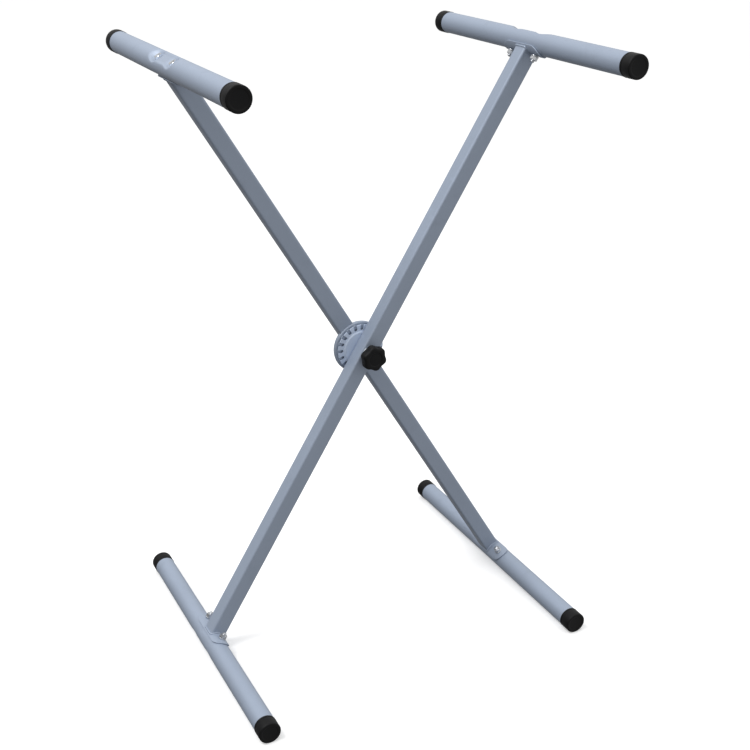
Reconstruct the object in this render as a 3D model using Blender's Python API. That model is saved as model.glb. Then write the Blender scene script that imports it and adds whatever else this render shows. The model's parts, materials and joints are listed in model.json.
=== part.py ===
"""X-style keyboard stand: two square legs crossed on a toothed clutch, with round tubes bolted across their ends.

Lengths are in metres and +Z is up. The clutch's axis runs along Y, with the knob on the -Y side.
The stand rests on Z = 0, with the origin below the pivot, halfway between the legs.
"""

import math

import bmesh
import bpy
from mathutils import Matrix, Vector

# Stance of the crossed legs
HALF_OPENING = math.radians(31.5)
ARM_DISTANCE = 0.5100
FOOT_DISTANCE = 0.5110
LEG_OFFSET = 0.0168
TUBE_OFFSET = 0.0135

# Square legs
LEG_SIDE = 0.0254
LEG_WALL = 0.0018
LEG_CORNER = 0.0030

# Round arm and foot tubes, and the plugs that close them
ARM_LENGTH = 0.4980
FOOT_LENGTH = 0.4930
TUBE_RADIUS = 0.0159
TUBE_WALL = 0.0015
CAP_RADIUS = 0.0166
CAP_HEAD = 0.0200
CAP_STEM = 0.0160
CAP_WALL = 0.0020
CAP_EDGE = 0.0012

# Saddle plates and the two bolts of each joint
SADDLE_SHEET = 0.0020
SADDLE_LENGTH = 0.0900
SADDLE_WRAP = math.radians(57)
SADDLE_CORNER = 0.0150
BOLT_PITCH = 0.0600
BOLT_RADIUS = 0.0030
BOLT_TIP = 0.0035
HEAD_FLATS = 0.0100
HEAD_HEIGHT = 0.0040
NUT_HEIGHT = 0.0050
WASHER_RADIUS = 0.0060
WASHER_SHEET = 0.0012
DIMPLE_DEPTH = 0.0080
DIMPLE_FLOOR = 0.0068
DIMPLE_MOUTH = 0.0209

# Toothed clutch between the legs
TOOTH_COUNT = 19
TOOTH_PHASE = math.radians(142.5)
TOOTH_WIDTH = 0.0046
TOOTH_INNER = 0.0318
DISC_SHEET = 0.0018
FRONT_DISC_RADIUS = 0.0375
REAR_DISC_RADIUS = 0.0405
REAR_DISC_RIM = 0.0062
BEND_RADIUS = 0.0024
BOSS_RADIUS = 0.0262
BOSS_RISE = 0.0015
BOSS_SLOPE = 0.0018
RUNNING_SLACK = 0.0003
SPRING_INNER = 0.0135
SPRING_OUTER = 0.0185
SPRING_SHEET = 0.0005
SPRING_WAVE = 0.00025
SPRING_WAVES = 4

# Pivot bolt, its sleeves and the knob
PIVOT_RADIUS = 0.0040
PIVOT_HEAD_RADIUS = 0.0100
PIVOT_HEAD_HEIGHT = 0.0046
SLEEVE_WALL = 0.0027
THRUST_RADIUS = 0.0120
THRUST_SHEET = 0.0020
KNOB_RADIUS = 0.0192
KNOB_LOBE = 0.0015
KNOB_LOBES = 7
KNOB_THICKNESS = 0.0145
KNOB_HUB_RADIUS = 0.0115
KNOB_HUB_LENGTH = 0.0040
KNOB_SKIN = 0.0035
KNOB_EDGE = 0.0016
INSERT_WALL = 0.0027

# Clearances between neighbouring pieces
GAP = 0.0003
OVERRUN = 0.0020

# Sides of the round shapes
TUBE_SIDES = 32
DISC_SIDES = 48
SLEEVE_SIDES = 20
BOLT_SIDES = 12
DIMPLE_SIDES = 24

# The two ends of a tube along Y
ENDS = (("front", -1), ("back", 1))

# Places worked out from the sizes above
FOOT_HEIGHT = CAP_RADIUS * math.cos(math.pi / TUBE_SIDES)
PIVOT_HEIGHT = FOOT_HEIGHT + FOOT_DISTANCE * math.cos(HALF_OPENING)
SADDLE_INSIDE = TUBE_RADIUS + GAP
SADDLE_OUTSIDE = SADDLE_INSIDE + SADDLE_SHEET
DIMPLE_SEAT = TUBE_RADIUS - DIMPLE_DEPTH
LEG_INNER_FACE = LEG_OFFSET - LEG_SIDE / 2
LEG_OUTER_FACE = LEG_OFFSET + LEG_SIDE / 2
BOSS_FACE = -LEG_INNER_FACE + GAP
FLANGE_FACE = BOSS_FACE + BOSS_RISE
WEB_FACE = LEG_INNER_FACE - GAP - DISC_SHEET
TOOTH_TIP = FLANGE_FACE + DISC_SHEET + RUNNING_SLACK
RELEASE_STROKE = WEB_FACE - RUNNING_SLACK - FLANGE_FACE - DISC_SHEET
SLEEVE_INSIDE = PIVOT_RADIUS + GAP
SLEEVE_OUTSIDE = SLEEVE_INSIDE + SLEEVE_WALL
THRUST_FACE = -LEG_OUTER_FACE - GAP - THRUST_SHEET
KNOB_BACK = THRUST_FACE - GAP
KNOB_FRONT = KNOB_BACK - KNOB_HUB_LENGTH - KNOB_THICKNESS
INSERT_OUTSIDE = SLEEVE_INSIDE + INSERT_WALL


def clear_scene():
    for old in list(bpy.data.objects):
        bpy.data.objects.remove(old, do_unlink=True)


def make_material(name, colour, roughness, metallic):
    material = bpy.data.materials.new(name)
    material.use_nodes = True
    shader = material.node_tree.nodes["Principled BSDF"]
    shader.inputs["Base Color"].default_value = (*colour, 1.0)
    shader.inputs["Roughness"].default_value = roughness
    shader.inputs["Metallic"].default_value = metallic
    return material


def make_materials():
    return {
        "paint": make_material("silver_paint", (0.37, 0.41, 0.49), 0.42, 0.35),
        "plastic": make_material("black_plastic", (0.020, 0.021, 0.022), 0.55, 0.0),
        "zinc": make_material("bright_zinc", (0.72, 0.73, 0.74), 0.28, 1.0),
        "spring": make_material("spring_steel", (0.30, 0.30, 0.31), 0.35, 1.0),
        "nylon": make_material("natural_nylon", (0.62, 0.60, 0.55), 0.50, 0.0),
    }


# Meshes: each function adds one closed body to a bmesh

def turn_about_y(angle):
    return Matrix.Rotation(angle, 4, "Y")


def add_rod(bm, low_radius, high_radius, low, high, sides, place=Matrix()):
    """A cylinder or cone along local Z."""
    middle = Matrix.Translation((0, 0, (low + high) / 2))
    bmesh.ops.create_cone(
        bm, cap_ends=True, segments=sides, radius1=low_radius, radius2=high_radius,
        depth=high - low, matrix=place @ middle,
    )


def add_prism(bm, outline, low, high, place=Matrix()):
    """An outline of (x, z) points, extruded along local Y."""
    face = bm.faces.new([bm.verts.new(place @ Vector((x, low, z))) for x, z in outline])
    grown = bmesh.ops.extrude_face_region(bm, geom=[face])["geom"]
    moved = [item for item in grown if isinstance(item, bmesh.types.BMVert)]
    shift = place.to_3x3() @ Vector((0, high - low, 0))
    bmesh.ops.translate(bm, verts=moved, vec=shift)


def add_turned(bm, profile, sides, phase=0.0):
    """A profile of (radius, y) points, turned about the Y axis. Points at radius 0 close the body."""
    place = turn_about_y(phase)
    verts = [bm.verts.new(place @ Vector((radius, y, 0))) for radius, y in profile]
    pairs = list(zip(verts, verts[1:]))
    if profile[0][0] > 0:
        pairs.append((verts[-1], verts[0]))
    edges = [bm.edges.new(pair) for pair in pairs]
    bmesh.ops.spin(
        bm, geom=verts + edges, cent=(0, 0, 0), axis=(0, 1, 0),
        angle=math.tau, steps=sides, use_merge=True,
    )
    bmesh.ops.remove_doubles(bm, verts=bm.verts, dist=1e-7)


def rounded_rectangle(half_x, half_z, radius, steps=5):
    corners = [(1, 1, 0), (-1, 1, 90), (-1, -1, 180), (1, -1, 270)]
    outline = []
    for sign_x, sign_z, start in corners:
        for step in range(steps):
            angle = math.radians(start + 90 * step / (steps - 1))
            outline.append((
                sign_x * (half_x - radius) + radius * math.cos(angle),
                sign_z * (half_z - radius) + radius * math.sin(angle),
            ))
    return outline


def regular_polygon(across_flats, sides=6):
    corner = across_flats / 2 / math.cos(math.pi / sides)
    angles = [math.tau * (k + 0.5) / sides for k in range(sides)]
    return [(corner * math.cos(a), corner * math.sin(a)) for a in angles]


# Objects

def place_object(name, bm, parent, location=(0, 0, 0), turn=0.0, material=None):
    bmesh.ops.recalc_face_normals(bm, faces=bm.faces)
    mesh = bpy.data.meshes.new(name)
    bm.to_mesh(mesh)
    bm.free()
    mesh.shade_smooth()
    mesh.set_sharp_from_angle(angle=math.radians(32))
    item = bpy.data.objects.new(name, mesh)
    bpy.context.scene.collection.objects.link(item)
    item.parent = parent
    item.location = location
    item.rotation_euler = (0, turn, 0)
    if material:
        mesh.materials.append(material)
    else:
        item.display_type = "WIRE"
        item.hide_render = True
    return item


def combine(item, helper, operation):
    step = item.modifiers.new(operation.lower(), "BOOLEAN")
    step.operation = operation
    step.solver = "EXACT"
    step.object = helper


def make_frame_empty(name, turn):
    empty = bpy.data.objects.new(name, None)
    bpy.context.scene.collection.objects.link(empty)
    empty.location = (0, 0, PIVOT_HEIGHT)
    empty.rotation_euler = (0, turn, 0)
    return empty


class Frame:
    """One leg with its arm and foot. Local Z runs up the leg and the origin is on the clutch's axis."""

    def __init__(self, name, side, finishes):
        self.name = name
        self.side = side
        self.turn = -side * HALF_OPENING
        self.empty = make_frame_empty(f"{name}_frame", self.turn)
        self.finishes = finishes
        self.level = -self.turn

    def add(self, name, bm, location=(0, 0, 0), turn=0.0, finish=None):
        material = self.finishes[finish] if finish else None
        return place_object(f"{self.name}_{name}", bm, self.empty, location, turn, material)


# Tubes, saddles and their fasteners

def end_place(outward):
    """Turns local +Z to point away from the pivot, at a tube's centre."""
    return turn_about_y(0 if outward > 0 else math.pi)


def bolt_rods(low_radius, high_radius, low, high, sides, outward):
    """One rod or cone for each of a joint's two bolts, along the leg."""
    bm = bmesh.new()
    for _, end in ENDS:
        place = end_place(outward) @ Matrix.Translation((0, end * BOLT_PITCH / 2, 0))
        add_rod(bm, low_radius, high_radius, low, high, sides, place)
    return bm


def make_tube(frame, name, centre, length, outward, holes):
    """A tube with a pressed dimple for each bolt head on the side away from the leg."""
    half = length / 2 - CAP_HEAD
    facet = math.pi / TUBE_SIDES
    along_y = turn_about_y(facet) @ Matrix.Rotation(math.radians(90), 4, "X")

    shell = bmesh.new()
    add_rod(shell, TUBE_RADIUS, TUBE_RADIUS, -half, half, TUBE_SIDES, along_y)
    tube = frame.add(name, shell, centre, frame.level, "paint")

    inside = bmesh.new()
    bore = TUBE_RADIUS - TUBE_WALL
    add_rod(inside, bore, bore, -half - OVERRUN, half + OVERRUN, TUBE_SIDES, along_y)
    hollow = frame.add(f"{name}_hollow", inside, centre, frame.level)

    mouth = TUBE_RADIUS + OVERRUN
    dimples = frame.add(
        f"{name}_dimples",
        bolt_rods(DIMPLE_FLOOR, DIMPLE_MOUTH, DIMPLE_SEAT, mouth, DIMPLE_SIDES, outward), centre,
    )
    backs = frame.add(
        f"{name}_dimple_backs",
        bolt_rods(
            DIMPLE_FLOOR + TUBE_WALL, DIMPLE_MOUTH + TUBE_WALL,
            DIMPLE_SEAT - TUBE_WALL, mouth, DIMPLE_SIDES, outward,
        ),
        centre,
    )
    combine(hollow, backs, "DIFFERENCE")
    combine(tube, hollow, "DIFFERENCE")
    combine(tube, dimples, "DIFFERENCE")
    combine(tube, holes, "DIFFERENCE")


def make_caps(frame, name, centre, length):
    """A plastic plug in each end of a tube: a head as wide as the tube, on a hollow stem."""
    half = length / 2
    stem = TUBE_RADIUS - TUBE_WALL - GAP
    shoulder = CAP_HEAD - GAP
    profile = [
        (0, 0), (CAP_RADIUS - CAP_EDGE, 0), (CAP_RADIUS, CAP_EDGE), (CAP_RADIUS, shoulder),
        (stem, shoulder), (stem, shoulder + CAP_STEM), (stem - CAP_WALL, shoulder + CAP_STEM),
        (stem - CAP_WALL, 2 * CAP_WALL), (0, 2 * CAP_WALL),
    ]
    for label, end in ENDS:
        bm = bmesh.new()
        outline = [(radius, end * (half - y)) for radius, y in profile]
        add_turned(bm, outline, TUBE_SIDES, math.pi / TUBE_SIDES)
        frame.add(f"{name}_cap_{label}", bm, centre, frame.level, "plastic")


def make_saddle(frame, name, centre, outward, holes):
    """A curved plate round the tube's leg side, with square edges and rounded corners."""
    half = SADDLE_LENGTH / 2
    pipe = bmesh.new()
    profile = [
        (SADDLE_INSIDE, -half), (SADDLE_OUTSIDE, -half), (SADDLE_OUTSIDE, half), (SADDLE_INSIDE, half),
    ]
    add_turned(pipe, profile, TUBE_SIDES, math.pi / TUBE_SIDES)
    saddle = frame.add(name, pipe, centre, frame.level, "paint")

    reach = 1.2 * SADDLE_OUTSIDE / math.cos(SADDLE_WRAP)
    wedge = bmesh.new()
    spread = reach * math.sin(SADDLE_WRAP)
    depth = reach * math.cos(SADDLE_WRAP)
    outline = [(0, 0), (spread, -depth), (-spread, -depth)]
    add_prism(wedge, outline, -half - OVERRUN, half + OVERRUN, end_place(outward))
    span = frame.add(f"{name}_span", wedge, centre)

    plate = bmesh.new()
    width = SADDLE_OUTSIDE * math.sin(SADDLE_WRAP)
    upright = end_place(outward) @ Matrix.Rotation(math.radians(90), 4, "X")
    rounded = rounded_rectangle(width, half, SADDLE_CORNER)
    add_prism(plate, rounded, -SADDLE_OUTSIDE - OVERRUN, OVERRUN, upright)
    corners = frame.add(f"{name}_corners", plate, centre)

    combine(saddle, span, "INTERSECT")
    combine(saddle, corners, "INTERSECT")
    combine(saddle, holes, "DIFFERENCE")


def make_joint_fasteners(frame, name, centre, outward, holes):
    """Two hexagon bolts through tube and saddle, each with a washer and a nut on the leg's side."""
    seat = -SADDLE_OUTSIDE - GAP
    nut_seat = seat - WASHER_SHEET - GAP
    tip = nut_seat - NUT_HEIGHT - BOLT_TIP
    head = DIMPLE_SEAT + GAP
    hexagon = regular_polygon(HEAD_FLATS)
    for label, end in ENDS:
        place = end_place(outward) @ Matrix.Translation((0, end * BOLT_PITCH / 2, 0))
        upright = place @ Matrix.Rotation(math.radians(90), 4, "X")

        cap = bmesh.new()
        add_prism(cap, hexagon, head, head + HEAD_HEIGHT, upright)
        bolt = frame.add(f"{name}_bolt_{label}", cap, centre, 0, "zinc")
        stem = bmesh.new()
        add_rod(stem, BOLT_RADIUS, BOLT_RADIUS, tip, head + HEAD_HEIGHT / 2, BOLT_SIDES, place)
        combine(bolt, frame.add(f"{name}_shank_{label}", stem, centre), "UNION")

        ring = bmesh.new()
        add_rod(ring, WASHER_RADIUS, WASHER_RADIUS, seat - WASHER_SHEET, seat, BOLT_SIDES * 2, place)
        combine(frame.add(f"{name}_washer_{label}", ring, centre, 0, "zinc"), holes, "DIFFERENCE")

        block = bmesh.new()
        add_prism(block, hexagon, nut_seat - NUT_HEIGHT, nut_seat, upright)
        combine(frame.add(f"{name}_nut_{label}", block, centre, 0, "zinc"), holes, "DIFFERENCE")


def make_tube_joint(frame, name, distance, length, outward):
    """A whole end of a leg: tube, plugs, saddle and fasteners."""
    centre = (0, frame.side * TUBE_OFFSET, outward * distance)
    reach = SADDLE_OUTSIDE + WASHER_SHEET + NUT_HEIGHT + 2 * OVERRUN
    clear = BOLT_RADIUS + GAP
    hole_rods = bolt_rods(clear, clear, -reach, TUBE_RADIUS, BOLT_SIDES, outward)
    holes = frame.add(f"{name}_bolt_holes", hole_rods, centre)
    make_tube(frame, f"{name}_tube", centre, length, outward, holes)
    make_caps(frame, name, centre, length)
    make_saddle(frame, f"{name}_saddle", centre, outward, holes)
    make_joint_fasteners(frame, name, centre, outward, holes)


# Legs

def make_leg(frame, pivot_bore, square_neck):
    """A square tube with rounded corners, coped at both ends to sit round the saddles."""
    half = LEG_SIDE / 2
    bm = bmesh.new()
    outline = rounded_rectangle(half, half, LEG_CORNER, 4)
    upright = Matrix.Rotation(math.radians(90), 4, "X")
    add_prism(bm, outline, -FOOT_DISTANCE, ARM_DISTANCE, upright)
    middle = (0, frame.side * LEG_OFFSET, 0)
    leg = frame.add("leg", bm, middle, 0, "paint")

    inside = bmesh.new()
    room = half - LEG_WALL
    bore = rounded_rectangle(room, room, LEG_CORNER - LEG_WALL, 4)
    add_prism(inside, bore, -FOOT_DISTANCE - OVERRUN, ARM_DISTANCE + OVERRUN, upright)
    hollow = frame.add("leg_hollow", inside, middle)

    copes = bmesh.new()
    along_y = Matrix.Rotation(math.radians(90), 4, "X")
    for height in (ARM_DISTANCE, -FOOT_DISTANCE):
        place = Matrix.Translation((0, 0, height)) @ turn_about_y(frame.level) @ along_y
        facet = Matrix.Rotation(math.pi / TUBE_SIDES, 4, "Z")
        radius = SADDLE_OUTSIDE + GAP
        add_rod(copes, radius, radius, -LEG_SIDE, LEG_SIDE, TUBE_SIDES, place @ facet)
    cope = frame.add("leg_copes", copes, middle)

    pivot = bmesh.new()
    add_rod(pivot, pivot_bore, pivot_bore, -LEG_SIDE, LEG_SIDE, SLEEVE_SIDES, along_y)
    hole = frame.add("leg_pivot_hole", pivot, middle)

    combine(leg, hollow, "DIFFERENCE")
    combine(leg, cope, "DIFFERENCE")
    combine(leg, hole, "DIFFERENCE")
    if square_neck:
        neck = bmesh.new()
        neck_half = PIVOT_RADIUS + GAP
        outline = rounded_rectangle(neck_half, neck_half, GAP, 2)
        add_prism(neck, outline, half - LEG_WALL - OVERRUN, half + OVERRUN)
        combine(leg, frame.add("leg_neck_hole", neck, middle), "DIFFERENCE")


# Clutch

def tooth_ring(inner, outer, width, low, high, rounded):
    """One tooth or notch at each pitch of the clutch, as separate bodies in one mesh."""
    bm = bmesh.new()
    half = width / 2
    start = [(inner, -half), (outer, -half), (outer, half), (inner, half)]
    if rounded:
        turns = [math.radians(90 + 180 * k / 4) for k in range(1, 4)]
        start += [(inner + half * math.cos(a), half * math.sin(a)) for a in turns]
    for k in range(TOOTH_COUNT):
        angle = TOOTH_PHASE + math.tau * k / TOOTH_COUNT
        add_prism(bm, start, low, high, turn_about_y(-angle))
    return bm


def bend_points(radius, y, bend, sign, steps=3):
    """A quarter bend from a face at y, outwards and on along Y, ending at the given radius."""
    points = []
    for k in range(steps + 1):
        angle = math.radians(90 * k / steps)
        points.append((
            radius - bend + bend * math.sin(angle),
            y + sign * (bend - bend * math.cos(angle)),
        ))
    return points


def make_rear_disc(frame):
    """A pressed disc on the rear leg: a rim turned back round the leg, and teeth standing forward."""
    bm = bmesh.new()
    web_back = WEB_FACE + DISC_SHEET
    rim_end = WEB_FACE + REAR_DISC_RIM
    outer = bend_points(REAR_DISC_RADIUS, WEB_FACE, BEND_RADIUS, 1)
    inner = bend_points(REAR_DISC_RADIUS - DISC_SHEET, web_back, BEND_RADIUS - DISC_SHEET, 1)
    profile = [(SLEEVE_INSIDE, WEB_FACE)] + outer + [(REAR_DISC_RADIUS, rim_end)]
    profile += [(REAR_DISC_RADIUS - DISC_SHEET, rim_end)] + inner[::-1] + [(SLEEVE_INSIDE, web_back)]
    add_turned(bm, profile, DISC_SIDES)
    disc = frame.add("clutch_disc", bm, (0, 0, 0), frame.level, "paint")

    tooth_outer = FRONT_DISC_RADIUS - GAP
    root = WEB_FACE + DISC_SHEET / 2
    teeth = tooth_ring(TOOTH_INNER, tooth_outer, TOOTH_WIDTH, TOOTH_TIP, root, False)
    combine(disc, frame.add("clutch_teeth", teeth, (0, 0, 0), frame.level), "UNION")

    slots = bmesh.new()
    half = LEG_SIDE / 2 + GAP
    reach = REAR_DISC_RADIUS + OVERRUN
    outline = [(-half, -reach), (half, -reach), (half, reach), (-half, reach)]
    add_prism(slots, outline, LEG_INNER_FACE - GAP / 2, rim_end + OVERRUN)
    combine(disc, frame.add("clutch_leg_slot", slots), "DIFFERENCE")


def make_front_disc(frame):
    """A pressed disc on the front leg: a raised boss that meets the leg, and a notched flange."""
    bm = bmesh.new()
    bore = SLEEVE_OUTSIDE + GAP
    foot = BOSS_RADIUS + BOSS_SLOPE
    front = [(bore, BOSS_FACE), (BOSS_RADIUS, BOSS_FACE), (foot, FLANGE_FACE), (FRONT_DISC_RADIUS, FLANGE_FACE)]
    back = [(radius, y + DISC_SHEET) for radius, y in front[::-1]]
    back[1] = (foot - DISC_SHEET / 2, FLANGE_FACE + DISC_SHEET)
    back[2] = (BOSS_RADIUS - DISC_SHEET / 2, BOSS_FACE + DISC_SHEET)
    add_turned(bm, front + back, DISC_SIDES)
    disc = frame.add("clutch_disc", bm, (0, 0, 0), frame.level, "paint")

    notches = tooth_ring(
        TOOTH_INNER - GAP, FRONT_DISC_RADIUS + OVERRUN, TOOTH_WIDTH + 2 * GAP,
        FLANGE_FACE - OVERRUN, FLANGE_FACE + DISC_SHEET + OVERRUN, True,
    )
    combine(disc, frame.add("clutch_notches", notches, (0, 0, 0), frame.level), "DIFFERENCE")


def make_release_spring(frame):
    """A wave washer that pushes the discs apart, drawn at the height it has when the clutch is closed."""
    bm = bmesh.new()
    low = WEB_FACE - GAP - SPRING_SHEET
    profile = [
        (SPRING_INNER, low), (SPRING_OUTER, low), (SPRING_OUTER, low + SPRING_SHEET),
        (SPRING_INNER, low + SPRING_SHEET),
    ]
    add_turned(bm, profile, DISC_SIDES)
    for vert in bm.verts:
        angle = math.atan2(vert.co.z, vert.co.x)
        vert.co.y += SPRING_WAVE * (math.cos(SPRING_WAVES * angle) - 1)
    place_object("release_spring", bm, frame.empty, (0, 0, 0), frame.level, frame.finishes["spring"])


# Pivot

def make_sleeve(name, inner, outer, low, high, parent, material):
    bm = bmesh.new()
    profile = [(inner, low), (outer, low), (outer, high), (inner, high)]
    add_turned(bm, profile, SLEEVE_SIDES)
    return place_object(name, bm, parent, material=material)


def make_pivot_bolt(parent, finishes):
    """A carriage bolt from the back of the rear leg, its square neck held in the leg's wall."""
    seat = LEG_OUTER_FACE + GAP
    tip = KNOB_FRONT + KNOB_SKIN + RELEASE_STROKE + 2 * OVERRUN
    dome = [
        (PIVOT_HEAD_RADIUS * math.cos(math.radians(a)), seat + PIVOT_HEAD_HEIGHT * math.sin(math.radians(a)))
        for a in (0, 22, 45, 67)
    ]
    bm = bmesh.new()
    add_turned(bm, [(0, seat)] + dome + [(0, seat + PIVOT_HEAD_HEIGHT)], SLEEVE_SIDES)
    bolt = place_object("pivot_bolt", bm, parent, material=finishes["zinc"])

    shank = bmesh.new()
    along_y = Matrix.Rotation(math.radians(-90), 4, "X")
    inside = seat + PIVOT_HEAD_HEIGHT / 2
    add_rod(shank, PIVOT_RADIUS, PIVOT_RADIUS, tip, inside, SLEEVE_SIDES, along_y)
    combine(bolt, place_object("pivot_bolt_shank", shank, parent), "UNION")

    neck = bmesh.new()
    outline = rounded_rectangle(PIVOT_RADIUS, PIVOT_RADIUS, GAP, 2)
    add_prism(neck, outline, LEG_OUTER_FACE - LEG_WALL + GAP, inside)
    combine(bolt, place_object("pivot_bolt_neck", neck, parent), "UNION")


def knob_outline():
    steps = 6 * KNOB_LOBES
    angles = [math.tau * k / steps for k in range(steps)]
    radii = [KNOB_RADIUS + KNOB_LOBE * math.cos(KNOB_LOBES * a) for a in angles]
    return [(r * math.sin(a), r * math.cos(a)) for r, a in zip(radii, angles)]


def make_knob(parent, finishes):
    """A lobed grip on a short hub, with a blind bore for its threaded insert."""
    hub_front = KNOB_BACK - KNOB_HUB_LENGTH
    grip = bmesh.new()
    add_prism(grip, knob_outline(), KNOB_FRONT, hub_front)
    knob = place_object("clutch_knob", grip, parent, material=finishes["plastic"])
    edge = knob.modifiers.new("edge", "BEVEL")
    edge.width = KNOB_EDGE
    edge.segments = 2
    edge.limit_method = "ANGLE"
    edge.angle_limit = math.radians(60)

    hub = bmesh.new()
    profile = [
        (0, KNOB_BACK), (KNOB_HUB_RADIUS, KNOB_BACK), (KNOB_HUB_RADIUS + KNOB_EDGE, hub_front - KNOB_EDGE),
        (0, hub_front - KNOB_EDGE),
    ]
    add_turned(hub, profile, DISC_SIDES // 2)
    combine(knob, place_object("clutch_knob_hub", hub, parent), "UNION")

    bore = bmesh.new()
    profile = [
        (0, KNOB_BACK + OVERRUN), (INSERT_OUTSIDE + GAP, KNOB_BACK + OVERRUN),
        (INSERT_OUTSIDE + GAP, KNOB_FRONT + KNOB_SKIN), (0, KNOB_FRONT + KNOB_SKIN),
    ]
    add_turned(bore, profile, SLEEVE_SIDES)
    combine(knob, place_object("clutch_knob_bore", bore, parent), "DIFFERENCE")
    make_sleeve(
        "knob_insert", SLEEVE_INSIDE, INSERT_OUTSIDE, KNOB_FRONT + KNOB_SKIN + GAP, KNOB_BACK - GAP,
        parent, finishes["zinc"],
    )


def make_pivot(rear, finishes):
    """The bolt on the clutch's axis, what slides on it, and the knob that closes the clutch."""
    axis = make_frame_empty("pivot_axis", 0)
    make_pivot_bolt(rear, finishes)
    rear_low = LEG_INNER_FACE + LEG_WALL + GAP
    rear_high = LEG_OUTER_FACE - LEG_WALL - GAP
    make_sleeve("rear_leg_sleeve", SLEEVE_INSIDE, SLEEVE_OUTSIDE, rear_low, rear_high, axis, finishes["zinc"])
    bush_back = BOSS_FACE + DISC_SHEET
    make_sleeve("pivot_bush", SLEEVE_INSIDE, SLEEVE_OUTSIDE, -LEG_OUTER_FACE, bush_back, axis, finishes["nylon"])
    make_sleeve(
        "thrust_washer", SLEEVE_INSIDE, THRUST_RADIUS, THRUST_FACE, THRUST_FACE + THRUST_SHEET,
        axis, finishes["zinc"],
    )
    make_knob(axis, finishes)


def main():
    clear_scene()
    finishes = make_materials()
    front = Frame("front", -1, finishes)
    rear = Frame("rear", 1, finishes)
    for frame in (front, rear):
        make_tube_joint(frame, "arm", ARM_DISTANCE, ARM_LENGTH, 1)
        make_tube_joint(frame, "foot", FOOT_DISTANCE, FOOT_LENGTH, -1)
    make_leg(front, SLEEVE_OUTSIDE + GAP, False)
    make_front_disc(front)
    make_leg(rear, SLEEVE_INSIDE, True)
    make_rear_disc(rear)
    make_release_spring(rear)
    make_pivot(rear.empty, finishes)


main()
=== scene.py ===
"""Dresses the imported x-style keyboard stand with its fine pieces and finishes.

Lengths are in metres, +Z is up and the clutch's axis runs along Y, with the knob on the -Y side.
"""

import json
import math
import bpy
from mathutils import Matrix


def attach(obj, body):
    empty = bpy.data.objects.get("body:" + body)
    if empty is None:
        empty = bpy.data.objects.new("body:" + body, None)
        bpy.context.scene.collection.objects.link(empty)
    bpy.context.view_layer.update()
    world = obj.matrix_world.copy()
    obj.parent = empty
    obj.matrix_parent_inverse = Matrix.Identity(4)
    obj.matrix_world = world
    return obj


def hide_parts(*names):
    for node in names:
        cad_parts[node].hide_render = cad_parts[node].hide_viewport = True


bl_info = {
    "name": "X-Style Keyboard Stand",
    "version": (1, 0, 0),
    "blender": (4, 5, 0),
    "location": "3D View > Sidebar > Stand",
    "description": "Builds the visible pieces and finishes of a folding keyboard stand",
    "category": "Add Mesh",
}

import bmesh
import bpy
from bpy.props import FloatProperty, FloatVectorProperty, IntProperty, PointerProperty
from mathutils import Matrix, Vector

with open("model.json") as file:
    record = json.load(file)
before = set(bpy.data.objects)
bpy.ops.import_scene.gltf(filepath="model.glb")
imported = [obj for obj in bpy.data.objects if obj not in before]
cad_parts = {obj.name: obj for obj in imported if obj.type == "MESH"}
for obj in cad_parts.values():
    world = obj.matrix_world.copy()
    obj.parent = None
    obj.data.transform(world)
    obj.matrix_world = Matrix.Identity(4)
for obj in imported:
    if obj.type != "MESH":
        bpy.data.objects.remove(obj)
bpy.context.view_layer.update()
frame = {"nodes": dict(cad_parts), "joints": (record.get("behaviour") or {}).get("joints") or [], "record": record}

# Stance, repeated from the solids
HALF_OPENING = math.radians(31.5)
PIVOT_HEIGHT = next(j["pos_m"][2] for j in frame["joints"] if j["name"] == "fold")
DISTANCE = {"arm": 0.5100, "foot": 0.5110}
LENGTH = {"arm": 0.4980, "foot": 0.4930}
LEG_OFFSET = 0.0168
LEG_SIDE = 0.0254
TUBE_OFFSET = 0.0135

# Tube joints
TUBE_WALL = 0.0015
CAP_RADIUS = 0.0166 * math.cos(math.pi / 32)
CAP_HEAD = 0.0200
SADDLE_INSIDE = 0.0162
SADDLE_SHEET = 0.0020
SADDLE_OUTSIDE = SADDLE_INSIDE + SADDLE_SHEET
SADDLE_LENGTH = 0.0900
SADDLE_WRAP = math.radians(57)
BOLT_PITCH = 0.0600
BOLT_RADIUS = 0.0030
BOLT_TIP = 0.0035
HEXAGON_STEPS = 72
HEAD_FLATS = 0.0100
HEAD_HEIGHT = 0.0040
NUT_HEIGHT = 0.0050
WASHER_RADIUS = 0.0060
WASHER_SHEET = 0.0012
DIMPLE_SEAT = 0.0079
DIMPLE_FLOOR = 0.0068
DIMPLE_SLOPE = 0.709
DIMPLE_BED = 0.0118
GAP = 0.0003
NUT_SEAT = -SADDLE_OUTSIDE - WASHER_SHEET - 2 * GAP

# Knob, measured forward from the clutch's middle
KNOB_BACK = 0.0321
KNOB_SKIRT = 0.0390
KNOB_FRONT = 0.0531
KNOB_HUB = 0.0115
KNOB_PHASE = math.radians(40)

# Clutch discs, with places along Y measured from the clutch's middle
TOOTH_COUNT = 19
TOOTH_PHASE = math.radians(142.5)
TOOTH_WIDTH = 0.0046
TOOTH_INNER = 0.0318
TOOTH_TIP = -0.0002
DISC_SHEET = 0.0018
FRONT_RADIUS = 0.0375
REAR_RADIUS = 0.0405
RIM_END = 0.0082
BEND_RADIUS = 0.0024
BOSS_RADIUS = 0.0262
BOSS_FACE = -0.0038
FLANGE_FACE = -0.0023
WEB_FACE = 0.0020
SLOT_FLOOR = 0.00395
DISC_BORE = {"front": 0.0073, "rear": 0.0043}
DISC_STEPS = 8 * TOOTH_COUNT
PAST_EDGE = 0.002
SHEARED_EDGE = 0.00025

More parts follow.
